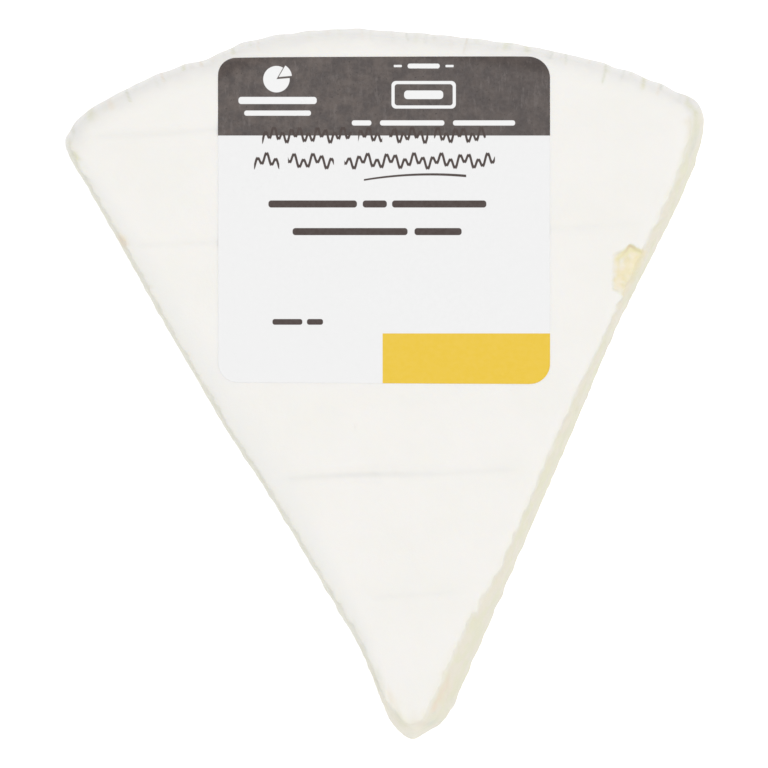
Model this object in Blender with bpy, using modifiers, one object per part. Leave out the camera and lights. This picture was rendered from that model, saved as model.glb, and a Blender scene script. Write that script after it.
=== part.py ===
"""A wedge cut from a flat round of soft cheese with a white rind, and the paper label on its top.

Lengths are metres and +Z is up. The wedge lies on its flat underside, its tip towards -Y and
its rinded rim towards +Y, with the middle of its box over the origin.
"""

import bmesh
import bpy
import numpy as np
from mathutils import Vector

MM = 0.001

# The wedge as a whole
HEIGHT = 32 * MM
TIP_DROOP = 1.0 * MM  # the thin end sinks by this much
DROOP_FROM, DROOP_TO = -25 * MM, -65 * MM
WAVE_DEPTH = 0.15 * MM  # slow unevenness of the top
WAVE_LENGTH_X, WAVE_LENGTH_Y = 95 * MM, 120 * MM

# Its outline at mid-height: two knife cuts, the old rim and a blunt tip, met by rays from a middle point
MIDDLE = np.array([-0.26, 8.0]) * MM
APEX = np.array([7.78, -67.09]) * MM  # where the two cuts would cross
LEFT_LEAN, RIGHT_LEAN = 30.62, 23.42  # degrees from the Y axis
RIM_MIDDLE = np.array([1.54, -52.71]) * MM
RIM_RADIUS = 115 * MM
TIP_FACING = 31.8  # degrees that the blunt end turns from -Y towards +X
TIP_REACH = 63.1 * MM  # from the middle point
LEFT_ROUNDING, RIGHT_ROUNDING, TIP_ROUNDING = 26, 10.5, 92  # higher is sharper

# How the cuts and the rim depart from true, in size, place and width
LEFT_BOW, LEFT_BOW_AT, LEFT_BOW_WIDTH = 0.7 * MM, 5 * MM, 20 * MM
TIP_BULGE, TIP_BULGE_AT, TIP_BULGE_WIDTH = 1.72 * MM, -56 * MM, 5.5 * MM
RIGHT_FLARE, FLARE_FROM, FLARE_TO = 1.43 * MM, 8 * MM, 38.6 * MM
RIGHT_WAIST, WAIST_AT, WAIST_WIDTH = 0.2 * MM, 8 * MM, 12 * MM
RIM_HUMP, HUMP_AT, HUMP_WIDTH = 1.18 * MM, -9.5, 6.0  # degrees round the rim
DENT_FROM, DENT_TO = -18.5, -13.5
RIM_HOLLOW, HOLLOW_AT, HOLLOW_WIDTH = 0.47 * MM, 6.0, 6.0
RIM_LIFT, LIFT_FROM, LIFT_TO = 0.73 * MM, 13.0, 22.0
LEFT_FALL, FALL_FROM, FALL_TO = 1.7 * MM, 23.0, 33.0
RIGHT_RISE, RISE_FROM, RISE_TO = 3.45 * MM, 24.0, 30.0
FLUTE_DEPTH, FLUTE_LENGTH = 0.1 * MM, 5.4 * MM  # the rim's shallow upright folds

# The wall on each face, in the order left cut, right cut, rim, tip
TOP_INSET = np.array([1.25, 2.6, 1.4, 3.4]) * MM  # the top rind's edge lies inside the girth
BOTTOM_INSET = np.array([0.6, 0.8, 1.5, 1.2]) * MM
GIRTH_HEIGHT = 17 * MM
SHOULDER_WIDTH = np.array([3.4, 2.0, 4.6, 3.0]) * MM
SHOULDER_DEPTH = np.array([0.7, 0.5, 4.6, 1.2]) * MM
FOOT_WIDTH = np.array([0.5, 0.5, 3.6, 0.6]) * MM
FOOT_DEPTH = np.array([0.5, 0.5, 3.8, 0.6]) * MM
RIGHT_PINCH, PINCH_AT, PINCH_WIDTH = 0.3, 9 * MM, 9 * MM  # the share by which less paste bulges out here
TIP_SPREAD, SPREAD_FROM, SPREAD_TO = 0.6, -34 * MM, -52 * MM  # and by which more does near the tip

# How finely it is built
STATION_STEP = np.array([3.0, 3.0, 1.4, 1.0]) * MM
CORNER_STEP = 1.0 * MM
INNER_RINGS = (0.35, 0.65, 0.86, 1.0)
SHOULDER_ANGLES = (62, 38, 18, 0)
WALL_SHARES = (0.12, 0.3, 0.5, 0.7, 0.87, 1.0)
FOOT_ANGLES = (35, 65, 90)

# Marks pressed by the bars of a drying rack: middle, half length
BAR_MARKS = (
    ((-26 * MM, 44.3 * MM), 23 * MM),
    ((0.0, 25.8 * MM), 44 * MM),
    ((2.3 * MM, -15.7 * MM), 21 * MM),
    ((5.5 * MM, -36.9 * MM), 8 * MM),
)
BAR_SLOPE = 2.7  # degrees
BAR_HALF_WIDTH, BAR_DEPTH = 1.1 * MM, 0.45 * MM

# The chip torn from the rind at the right cut, its corners seen from above, and a nick on the left
CHIP_CORNERS = np.array([(39.6, 22.6), (39.7, 16.2), (44, 11.6), (52, 17), (44.7, 22.8), (42.6, 24.7)]) * MM
CHIP_DEPTHS = np.array([0.8, 0.7, 1.3, 2.4, 1.5, 1.1]) * MM
CHIP_PLUG_RISE = 2 * MM  # the cutting plug stands this far out of the top
NICK_PLACE, NICK_RADIUS, NICK_SUNK = (-46.0 * MM, 25.1 * MM), 1.1 * MM, 0.3 * MM

# The label
LABEL_LEFT, LABEL_RIGHT, LABEL_TOP, LABEL_BOTTOM = -29 * MM, 29 * MM, 57.1 * MM, 0.1 * MM
TOP_LEFT_ROUND, TOP_RIGHT_ROUND, LOWER_ROUND = 3.0 * MM, 3.8 * MM, 3.5 * MM
ROUND_SEGMENTS = 6
LABEL_THICKNESS = 0.2 * MM
LABEL_GAP = 0.3 * MM
LABEL_CUTS_X = np.linspace(-27, 27, 23) * MM  # where the sheet's mesh can bend
LABEL_CUTS_Y = np.array([56, 54.5, 53, 51, 48, 42, 33, 22, 11]) * MM

# Colours as linear red, green and blue
RIND_COLOUR = (0.88, 0.865, 0.81, 1)
PAPER_COLOUR = (0.87, 0.87, 0.87, 1)


def smooth_step(value, start, end):
    """0 before start and 1 after end, with an S-shaped run between."""
    share = np.clip((value - start) / (end - start), 0, 1)
    return share * share * (3 - 2 * share)


def swell(value, at, width):
    """A rounded bump of height 1 at one place."""
    return np.exp(-(((value - at) / width) ** 2))


def rays_at(angles):
    return np.stack([np.cos(angles), np.sin(angles)], axis=1)


def line_reach(rays, point, normal, moved):
    """How far each ray from the middle runs before it meets a line that has been moved outward."""
    facing = np.maximum(rays @ normal, 1e-6)
    return ((point - MIDDLE) @ normal + moved) / facing


def left_reach(rays, inset):
    """Where rays meet the left cut, which bows out a little and bulges near the tip."""
    lean = np.radians(LEFT_LEAN)
    normal = np.array([-np.cos(lean), -np.sin(lean)])
    y = MIDDLE[1] + line_reach(rays, APEX, normal, 0) * rays[:, 1]
    bow = LEFT_BOW * swell(y, LEFT_BOW_AT, LEFT_BOW_WIDTH)
    bulge = TIP_BULGE * swell(y, TIP_BULGE_AT, TIP_BULGE_WIDTH)
    spread = 1 + TIP_SPREAD * smooth_step(-y, -SPREAD_FROM, -SPREAD_TO)
    return line_reach(rays, APEX, normal, bow + bulge - inset * spread)


def right_reach(rays, inset):
    """Where rays meet the right cut, which flares towards the rim and is a little hollow half way."""
    lean = np.radians(RIGHT_LEAN)
    normal = np.array([np.cos(lean), -np.sin(lean)])
    y = MIDDLE[1] + line_reach(rays, APEX, normal, 0) * rays[:, 1]
    flare = RIGHT_FLARE * smooth_step(y, FLARE_FROM, FLARE_TO)
    waist = RIGHT_WAIST * swell(y, WAIST_AT, WAIST_WIDTH)
    spread = 1 + TIP_SPREAD * smooth_step(-y, -SPREAD_FROM, -SPREAD_TO)
    spread = spread - RIGHT_PINCH * swell(y, PINCH_AT, PINCH_WIDTH)
    return line_reach(rays, APEX, normal, flare - waist - inset * spread)


def rim_reach(rays, inset):
    """Where rays meet the rim, a circle with a hump, a hollow, uneven ends and shallow flutes."""
    away = MIDDLE - RIM_MIDDLE
    half = rays @ away
    reach = -half + np.sqrt(half**2 - away @ away + (RIM_RADIUS - inset) ** 2)
    met = MIDDLE + reach[:, None] * rays - RIM_MIDDLE
    turn = np.degrees(np.arctan2(met[:, 0], met[:, 1]))
    hump = RIM_HUMP * swell(turn, HUMP_AT, HUMP_WIDTH) * smooth_step(turn, DENT_FROM, DENT_TO)
    hollow = RIM_HOLLOW * swell(turn, HOLLOW_AT, HOLLOW_WIDTH)
    lift = RIM_LIFT * smooth_step(turn, LIFT_FROM, LIFT_TO)
    rise = RIGHT_RISE * smooth_step(turn, RISE_FROM, RISE_TO)
    fall = LEFT_FALL * smooth_step(-turn, FALL_FROM, FALL_TO)
    arc = np.radians(turn) * RIM_RADIUS
    flutes = FLUTE_DEPTH * np.cos(2 * np.pi * arc / FLUTE_LENGTH + 1.4 * np.sin(arc / (3.1 * FLUTE_LENGTH)))
    return reach + hump - hollow + lift + rise - fall + flutes


def tip_reach(rays, inset):
    turn = np.radians(TIP_FACING)
    normal = np.array([np.sin(turn), -np.cos(turn)])
    return line_reach(rays, MIDDLE + TIP_REACH * normal, normal, -inset)


def outline(angles, insets=(0, 0, 0, 0)):
    """The wedge's outline by angle about its middle, each of its four faces drawn in by its inset, and
    how much each point belongs to each face. A ray stops at the nearest face, and a power mean in
    place of the plain minimum rounds the corners."""
    rays = rays_at(angles)
    faces = (left_reach, right_reach, rim_reach, tip_reach)
    reaches = np.stack([face(rays, inset) for face, inset in zip(faces, insets)])
    turn = np.degrees(angles) % 360
    power = np.where(turn > 225, TIP_ROUNDING, np.where(turn > 90, LEFT_ROUNDING, RIGHT_ROUNDING))
    closeness = (MIDDLE[1] / reaches) ** power
    total = closeness.sum(axis=0)
    reach = MIDDLE[1] * total ** (-1 / power)
    return MIDDLE + reach[:, None] * rays, closeness / total


def station_angles():
    """Angles of the outline's stations: close together round the rim and corners, wide on the cuts."""
    angles = np.linspace(0, 2 * np.pi, 3601)
    points, shares = outline(angles)
    mixing = 1 - (shares**2).sum(axis=0)
    step = STATION_STEP @ shares
    step = step + (CORNER_STEP - step) * np.minimum(1, 3 * mixing)
    lengths = np.linalg.norm(np.diff(points, axis=0), axis=1)
    paced = np.concatenate([[0], np.cumsum(lengths / step[1:])])
    count = round(paced[-1])
    return np.interp(np.arange(count) * paced[-1] / count, paced, angles)


def top_level(points):
    """Height of the top before its shoulder: flat, with slow waves, sinking towards the tip."""
    x, y = points[:, 0], points[:, 1]
    waves = WAVE_DEPTH * np.sin(2 * np.pi * x / WAVE_LENGTH_X + 0.6) * np.cos(2 * np.pi * y / WAVE_LENGTH_Y)
    return HEIGHT + waves - TIP_DROOP * smooth_step(-y, -DROOP_FROM, -DROOP_TO)


def top_ring(angles, share):
    """A ring of the flat top, at this share of the way from the middle to the shoulder."""
    flat_edge, _ = outline(angles, TOP_INSET + SHOULDER_WIDTH)
    ring = MIDDLE + share * (flat_edge - MIDDLE)
    return np.column_stack([ring, top_level(ring)])


def shoulder_ring(angles, turn):
    """A ring of the top's rounded edge, a quarter ellipse: 90 degrees on top and 0 on the wall."""
    ring, shares = outline(angles, TOP_INSET + SHOULDER_WIDTH * (1 - np.cos(np.radians(turn))))
    drop = (SHOULDER_DEPTH @ shares) * (1 - np.sin(np.radians(turn)))
    return np.column_stack([ring, top_level(ring) - drop])


def wall_ring(angles, share):
    """A ring of the wall, at this share of the way down: it swells to the girth and draws in below."""
    top, shares = outline(angles, TOP_INSET)
    start = top_level(top) - SHOULDER_DEPTH @ shares
    z = start + (FOOT_DEPTH @ shares - start) * share
    above = np.maximum(z - GIRTH_HEIGHT, 0) / (start - GIRTH_HEIGHT)
    below = np.maximum(GIRTH_HEIGHT - z, 0) / (GIRTH_HEIGHT - FOOT_DEPTH @ shares)
    insets = [top_in * above**2 + low_in * below**2 for top_in, low_in in zip(TOP_INSET, BOTTOM_INSET)]
    return np.column_stack([outline(angles, insets)[0], z])


def foot_ring(angles, turn):
    """A ring of the rounded lower edge, 0 degrees on the wall and 90 on the ground."""
    ring, shares = outline(angles, BOTTOM_INSET + FOOT_WIDTH * (1 - np.cos(np.radians(turn))))
    return np.column_stack([ring, (FOOT_DEPTH @ shares) * (1 - np.sin(np.radians(turn)))])


def wedge_rings(angles):
    """All rings from the top's middle to the underside's."""
    made = [top_ring(angles, share) for share in INNER_RINGS]
    made += [shoulder_ring(angles, turn) for turn in SHOULDER_ANGLES]
    made += [wall_ring(angles, share) for share in WALL_SHARES]
    made += [foot_ring(angles, turn) for turn in FOOT_ANGLES]
    return made


def top_height(points, angles):
    """Height of the top at any point, read between the shoulder's rings along the ray through it."""
    rings = [top_ring(angles, 1)] + [shoulder_ring(angles, turn) for turn in SHOULDER_ANGLES]
    arms = points - MIDDLE
    turn = np.arctan2(arms[:, 1], arms[:, 0])
    reach = np.linalg.norm(arms, axis=1)
    ring_reach = [np.linalg.norm(ring[:, :2] - MIDDLE, axis=1) for ring in rings]
    at_turn = [np.interp(turn, angles, values, period=2 * np.pi) for values in ring_reach]
    drops = [np.interp(turn, angles, top_level(ring[:, :2]) - ring[:, 2], period=2 * np.pi) for ring in rings]
    drop = np.zeros(len(points))
    for inner in range(len(rings) - 1):
        span = at_turn[inner + 1] - at_turn[inner]
        share = np.clip((reach - at_turn[inner]) / span, 0, 1)
        drop += share * (drops[inner + 1] - drops[inner])
    return top_level(points) - drop


def clear_scene():
    for item in list(bpy.data.objects):
        bpy.data.objects.remove(item)


def collection_named(name):
    made = bpy.data.collections.new(name)
    bpy.context.scene.collection.children.link(made)
    return made


def material_named(name, colour, roughness):
    material = bpy.data.materials.new(name)
    material.use_nodes = True
    shader = material.node_tree.nodes["Principled BSDF"]
    shader.inputs["Base Color"].default_value = colour
    shader.inputs["Roughness"].default_value = roughness
    shader.inputs["Metallic"].default_value = 0
    material.diffuse_color = colour
    return material


def object_from(bm, name, collection):
    mesh = bpy.data.meshes.new(name)
    bm.to_mesh(mesh)
    bm.free()
    made = bpy.data.objects.new(name, mesh)
    collection.objects.link(made)
    return made


def meridian(vertex, count):
    """Which of a sphere's or cone's upright lines a vertex is on, counted anticlockwise from +X. The first
    one can stand up to three quarters of a step past +X, so the turn is rounded down."""
    turn = np.arctan2(vertex.co.y, vertex.co.x) / (2 * np.pi) * count
    return int(np.floor(turn + 1 / 8)) % count


def make_cheese(angles, collection):
    """A sphere whose rings take the wedge's section and whose meridians are the outline's stations."""
    rings = wedge_rings(angles)
    count = len(angles)
    bm = bmesh.new()
    bmesh.ops.create_uvsphere(bm, u_segments=count, v_segments=len(rings) + 1, radius=1)
    for vertex in bm.verts:
        row = round(np.arccos(np.clip(vertex.co.z, -1, 1)) / np.pi * (len(rings) + 1))
        if row == 0:
            vertex.co = (*MIDDLE, top_level(MIDDLE[None])[0])
        elif row > len(rings):
            vertex.co = (*MIDDLE, 0)
        else:
            vertex.co = rings[row - 1][meridian(vertex, count)]
    cheese = object_from(bm, "cheese_wedge", collection)
    cheese.data.materials.append(material_named("rind and paste", RIND_COLOUR, 0.8))
    return cheese


def make_bar_cutter(number, collection):
    """A long thin ellipsoid sunk a little into the top, so that its mark fades at both ends."""
    place, half_length = BAR_MARKS[number]
    height = top_level(np.array([place]))[0]
    bm = bmesh.new()
    bmesh.ops.create_uvsphere(bm, u_segments=10, v_segments=24, radius=1)
    for vertex in bm.verts:
        along, across, up = vertex.co.z, vertex.co.x, vertex.co.y
        vertex.co = (along * half_length, across * BAR_HALF_WIDTH, up * BAR_DEPTH)
    cutter = object_from(bm, f"bar_mark_{number}", collection)
    cutter.location = (*place, height)
    cutter.rotation_euler.z = np.radians(BAR_SLOPE)
    return cutter


def make_chip_cutter(collection):
    """A six-sided plug with an uneven floor, open towards the cut."""
    top = top_level(CHIP_CORNERS)
    bm = bmesh.new()
    made = bmesh.ops.create_cone(bm, cap_ends=True, segments=len(CHIP_CORNERS), radius1=1, radius2=1, depth=2)
    for vertex in made["verts"]:
        corner = meridian(vertex, len(CHIP_CORNERS))
        height = top[corner] + CHIP_PLUG_RISE if vertex.co.z > 0 else top[corner] - CHIP_DEPTHS[corner]
        vertex.co = (*CHIP_CORNERS[corner], height)
    return object_from(bm, "chip_plug", collection)


def make_nick_cutter(collection):
    bm = bmesh.new()
    bmesh.ops.create_icosphere(bm, subdivisions=2, radius=NICK_RADIUS)
    cutter = object_from(bm, "nick_ball", collection)
    cutter.location = (*NICK_PLACE, top_level(np.array([NICK_PLACE]))[0] - NICK_SUNK)
    return cutter


def cut(target, cutter):
    cutter.hide_render = True
    cutter.display_type = "WIRE"
    boolean = target.modifiers.new(cutter.name, "BOOLEAN")
    boolean.operation = "DIFFERENCE"
    boolean.solver = "EXACT"
    boolean.object = cutter


def make_label(angles, collection):
    """A rounded sheet that follows the top a little above it, given its thickness by Solidify."""
    corners = (
        ((LABEL_LEFT, LABEL_TOP, 0), TOP_LEFT_ROUND),
        ((LABEL_RIGHT, LABEL_TOP, 0), TOP_RIGHT_ROUND),
        ((LABEL_RIGHT, LABEL_BOTTOM, 0), LOWER_ROUND),
        ((LABEL_LEFT, LABEL_BOTTOM, 0), LOWER_ROUND),
    )
    bm = bmesh.new()
    bmesh.ops.create_grid(bm, x_segments=1, y_segments=1, size=0.5)
    for vertex in bm.verts:
        x = LABEL_RIGHT if vertex.co.x > 0 else LABEL_LEFT
        y = LABEL_TOP if vertex.co.y > 0 else LABEL_BOTTOM
        vertex.co = (x, y, 0)
    for place, rounding in corners:
        vertex = min(bm.verts, key=lambda v: (v.co - Vector(place)).length)
        bmesh.ops.bevel(bm, geom=[vertex], offset=rounding, segments=ROUND_SEGMENTS, affect="VERTICES", profile=0.5)
    for axis, cuts in (((1, 0, 0), LABEL_CUTS_X), ((0, 1, 0), LABEL_CUTS_Y)):
        for place in cuts:
            sheet = bm.verts[:] + bm.edges[:] + bm.faces[:]
            bmesh.ops.bisect_plane(bm, geom=sheet, plane_co=Vector(axis) * place, plane_no=axis, dist=MM / 1000)
    places = np.array([vertex.co[:2] for vertex in bm.verts])
    for vertex, height in zip(bm.verts, top_height(places, angles)):
        vertex.co.z = height + LABEL_GAP
    bmesh.ops.recalc_face_normals(bm, faces=bm.faces)
    if sum(face.normal.z for face in bm.faces) < 0:
        bmesh.ops.reverse_faces(bm, faces=bm.faces)
    label = object_from(bm, "label", collection)
    label.data.materials.append(material_named("label paper", PAPER_COLOUR, 0.5))
    solidify = label.modifiers.new("thickness", "SOLIDIFY")
    solidify.thickness = LABEL_THICKNESS
    solidify.offset = 1
    return label


def stand_on_origin(angles, objects):
    """Moves everything so that the middle of the wedge's box is over the origin."""
    rings = np.concatenate(wedge_rings(angles))
    middle = (rings.min(axis=0) + rings.max(axis=0))[:2] / 2
    for item in objects:
        item.location -= Vector((*middle, 0))


clear_scene()
stations = station_angles()
parts = collection_named("brie wedge")
cutters = collection_named("cutters")
cheese = make_cheese(stations, parts)
tools = [make_bar_cutter(number, cutters) for number in range(len(BAR_MARKS))]
tools += [make_chip_cutter(cutters), make_nick_cutter(cutters)]
for tool in tools:
    cut(cheese, tool)
label = make_label(stations, parts)
stand_on_origin(stations, [cheese, label, *tools])
for piece in (cheese, label):
    piece.data.shade_smooth()
    piece.data.set_sharp_from_angle(angle=np.radians(40))
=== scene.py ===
"""A wedge of soft white-rinded cheese with the paper label on its top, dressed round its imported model.

Lengths are metres and +Z is up. The wedge lies flat, its tip towards -Y and its rinded rim towards +Y.
"""

import bpy
import numpy as np
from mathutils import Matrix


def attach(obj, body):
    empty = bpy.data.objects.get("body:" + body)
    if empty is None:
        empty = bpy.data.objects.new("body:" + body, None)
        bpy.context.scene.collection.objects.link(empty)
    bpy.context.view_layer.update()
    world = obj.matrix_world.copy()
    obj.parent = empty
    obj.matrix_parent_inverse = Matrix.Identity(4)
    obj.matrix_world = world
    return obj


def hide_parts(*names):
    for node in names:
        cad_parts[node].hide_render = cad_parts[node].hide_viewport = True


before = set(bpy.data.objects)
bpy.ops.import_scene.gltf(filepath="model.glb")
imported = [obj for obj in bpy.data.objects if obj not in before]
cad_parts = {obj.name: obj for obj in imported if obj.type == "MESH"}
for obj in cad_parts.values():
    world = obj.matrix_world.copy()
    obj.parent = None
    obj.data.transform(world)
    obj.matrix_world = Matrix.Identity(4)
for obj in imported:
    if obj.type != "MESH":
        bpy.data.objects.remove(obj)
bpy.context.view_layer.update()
MM = 0.001


# The view: a camera straight above the wedge, as in the photograph. It stands a metre over the top, so
# that the sides hardly spread, and the square picture takes in 133.56 mm of the top.

TOP_HEIGHT = 32 * MM
CAMERA_CLEARANCE = 1.0
PICTURE_WIDTH = 133.56 * MM
SENSOR_WIDTH = 36.0

camera = bpy.data.objects.new("camera", bpy.data.cameras.new("camera"))
camera.location = (0, 0, TOP_HEIGHT + CAMERA_CLEARANCE)
camera.data.sensor_width = SENSOR_WIDTH
camera.data.lens = SENSOR_WIDTH * CAMERA_CLEARANCE / PICTURE_WIDTH
camera.data.clip_start, camera.data.clip_end = 0.05, 20
camera.data.dof.use_dof = False
bpy.context.collection.objects.link(camera)
bpy.context.scene.camera = camera
bpy.context.scene.view_settings.view_transform = "Standard"
bpy.context.scene.view_settings.look = "None"


# The light and the floor: an even white room, one broad soft lamp high at the upper right, and a pale
# floor that glows a little, so that it stays white round the wedge as a lit table does.

ROOM_STRENGTH = 0.56
LAMP_STRENGTH = 1.81
LAMP_TILT, LAMP_TURN = 6, 10  # degrees from overhead, and from +X towards +Y
LAMP_SPREAD = 55  # degrees across
FLOOR_SIZE = 6.0
FLOOR_SUNK = 0.05 * MM
FLOOR_COLOUR, FLOOR_GLOW, FLOOR_ROUGHNESS = (0.5, 0.5, 0.5, 1), 0.70, 0.9

room = bpy.data.worlds.new("white room")
room.use_nodes = True
room.node_tree.nodes["Background"].inputs["Color"].default_value = (1, 1, 1, 1)
room.node_tree.nodes["Background"].inputs["Strength"].default_value = ROOM_STRENGTH
bpy.context.scene.world = room

lamp = bpy.data.objects.new("soft lamp", bpy.data.lights.new("soft lamp", "SUN"))
lamp.data.energy = LAMP_STRENGTH
lamp.data.angle = np.radians(LAMP_SPREAD)
lamp.rotation_euler = (0, np.radians(LAMP_TILT), np.radians(LAMP_TURN))
bpy.context.collection.objects.link(lamp)


def sheet_object(name, points, faces):
    """An object at the origin from a list of points and the corner numbers of its faces, shaded smooth."""
    mesh = bpy.data.meshes.new(name)
    mesh.from_pydata(points.tolist(), [], faces)
    mesh.shade_smooth()
    made = bpy.data.objects.new(name, mesh)
    bpy.context.collection.objects.link(made)
    return made


floor_corners = FLOOR_SIZE / 2 * np.array([(-1, -1, 0), (1, -1, 0), (1, 1, 0), (-1, 1, 0)])
floor = sheet_object("floor", floor_corners - np.array([0, 0, FLOOR_SUNK]), [(0, 1, 2, 3)])
floor_paint = bpy.data.materials.new("floor paint")
floor_paint.use_nodes = True
floor_shader = floor_paint.node_tree.nodes["Principled BSDF"]
floor_shader.inputs["Base Color"].default_value = FLOOR_COLOUR
floor_shader.inputs["Roughness"].default_value = FLOOR_ROUGHNESS
floor_shader.inputs["Specular IOR Level"].default_value = 0.0
floor_shader.inputs["Emission Color"].default_value = (1, 1, 1, 1)
floor_shader.inputs["Emission Strength"].default_value = FLOOR_GLOW
floor.data.materials.append(floor_paint)


# The cheese: one solid wedge cut from a flat round. White mould rind covers its top, its underside and
# its rim; the two knife cuts and the blunt tip show soft paste that has crept out past the rind.

HEIGHT = 32 * MM
TIP_DROOP = 1.0 * MM  # the thin end sinks by this much
DROOP_FROM, DROOP_TO = -25 * MM, -65 * MM
WAVE_DEPTH, WAVE_LENGTH_X, WAVE_LENGTH_Y, WAVE_START = 0.15 * MM, 95 * MM, 120 * MM, 0.6

# Its outline at mid-height: two knife cuts, the old rim and a blunt tip, met by rays from a middle point
MIDDLE_X, MIDDLE_Y = -0.26 * MM, 8.0 * MM
APEX_X, APEX_Y = 7.78 * MM, -67.09 * MM  # where the two cuts would cross
LEFT_LEAN, RIGHT_LEAN = 30.62, 23.42  # degrees from the Y axis
RIM_X, RIM_Y, RIM_RADIUS = 1.54 * MM, -52.71 * MM, 115 * MM
TIP_FACING, TIP_REACH = 31.8, 63.1 * MM
LEFT_ROUNDING, RIGHT_ROUNDING, TIP_ROUNDING = 26, 10.5, 92  # higher is sharper
LEFT_FROM, TIP_FROM = 90, 225  # degrees round the middle from +X, where the next corner's rounding starts

# How the cuts and the rim depart from true: how far out or in, and where along y or round the rim
LEFT_BOW, LEFT_BOW_AT, LEFT_BOW_WIDTH = 0.7 * MM, 5 * MM, 20 * MM
LEFT_SWELL, SWELL_AT, SWELL_WIDTH = 0.28 * MM, -8.5 * MM, 8 * MM
LEFT_TRIM, TRIM_FROM, TRIM_TO = 0.30 * MM, -46 * MM, -54 * MM
LEFT_FLARE, LEFT_FLARE_FROM, LEFT_FLARE_TO = 0.22 * MM, 34 * MM, 40 * MM
TIP_BULGE, TIP_BULGE_AT, TIP_BULGE_WIDTH = 1.72 * MM, -56 * MM, 5.5 * MM
RIGHT_FLARE, FLARE_FROM, FLARE_TO = 1.43 * MM, 8 * MM, 38.6 * MM
RIGHT_WAIST, WAIST_AT, WAIST_WIDTH = 0.2 * MM, 8 * MM, 12 * MM
RIM_HUMP, HUMP_AT, HUMP_WIDTH = 1.18 * MM, -9.5, 6.0  # degrees round the rim
DENT_FROM, DENT_TO = -18.5, -13.5
RIM_HOLLOW, HOLLOW_AT, HOLLOW_WIDTH = 0.47 * MM, 6.0, 6.0
RIM_LIFT, LIFT_FROM, LIFT_TO = 0.73 * MM, 13.0, 22.0
LEFT_FALL, FALL_FROM, FALL_TO = 1.7 * MM, 23.0, 33.0
RIGHT_RISE, RISE_FROM, RISE_TO = 3.45 * MM, 24.0, 30.0
FLUTE_DEPTH, FLUTE_LENGTH = 0.06 * MM, 5.4 * MM  # the rim's shallow upright folds
FLUTE_DRIFT, DRIFT_LENGTH = 1.4, 3.1  # how unevenly they are spaced, and over how many of them
# Knocks along the rim: degrees round it, width in degrees, and how far out in millimetres
RIM_KNOCKS = (
    (-31, 1.2, -0.7),
    (-28.4, 0.8, 0.2),
    (-24, 1.5, -0.26),
    (-16.4, 1.3, -0.38),
    (-8.6, 1.9, -0.22),
    (-2.9, 1.7, 0.22),
    (20.3, 0.9, -0.16),
    (24.3, 1, 0.2),
)

# The wall on each face, in the order left cut, right cut, rim, tip
TOP_INSET = np.array([0.98, 2.6, 1.4, 2.6]) * MM
BOTTOM_INSET = np.array([0.6, 0.8, 1.5, 1.2]) * MM
GIRTH_HEIGHT = 17 * MM
SHOULDER_WIDTH = np.array([3.4, 2.0, 4.6, 3.0]) * MM
SHOULDER_DEPTH = np.array([0.7, 0.5, 4.6, 1.2]) * MM
FOOT_WIDTH = np.array([0.5, 0.5, 3.6, 0.6]) * MM
FOOT_DEPTH = np.array([0.5, 0.5, 3.8, 0.6]) * MM
# How much wider or narrower the cuts' insets are along stretches of them, as shares
RIGHT_PINCH, PINCH_AT, PINCH_WIDTH = 0.3, 9 * MM, 9 * MM
LEFT_SPREAD, LEFT_SPREAD_FROM, LEFT_SPREAD_TO = 0.65, -49 * MM, -57 * MM
RIGHT_SPREAD, SPREAD_FROM, SPREAD_TO = 0.6, -34 * MM, -52 * MM

# Stations round the outline and rows from the middle of the top to the middle of the underside
STATION_STEP = np.array([0.8, 0.8, 0.36, 0.5]) * MM
CORNER_STEP = 0.35 * MM
CHIP_STEP, CHIP_START, CHIP_END, CHIP_EASE = 0.25 * MM, 1, 25, 3  # the turns in degrees
CORNER_REACH = 3  # how far past a corner its finer step runs
PACING_POINTS = 7201  # where the step is worked out
TOP_SHARES = np.concatenate([np.linspace(0.015, 0.90, 58), np.linspace(0.908, 1, 13)])
SHOULDER_TURNS = np.linspace(84, 0, 13)
WALL_SHARES = np.concatenate(
    [np.linspace(0.01, 0.16, 12), np.linspace(0.20, 0.84, 12), np.linspace(0.87, 1, 8)]
)
FOOT_TURNS = np.linspace(15, 90, 6)
UNDER_SHARES = np.linspace(0.90, 0.06, 6)


def smooth_step(value, start, end):
    """0 before start and 1 after end, with an S-shaped run between: share squared times (3 - 2 share)."""
    share = np.clip((value - start) / (end - start), 0, 1)
    return share * share * (3 - 2 * share)


def swell(value, at, width):
    """A rounded bump of height 1: e to the minus square of the distance in widths."""
    return np.exp(-(((value - at) / width) ** 2))


def line_reach(turn, normal_x, normal_y, moved):
    """How far a ray from the middle runs to a cut's line through the apex, moved outward by so much:
    the line's distance over the cosine between the ray and the line's normal."""
    facing = np.maximum(np.cos(turn) * normal_x + np.sin(turn) * normal_y, 1e-6)
    return ((APEX_X - MIDDLE_X) * normal_x + (APEX_Y - MIDDLE_Y) * normal_y + moved) / facing


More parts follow.
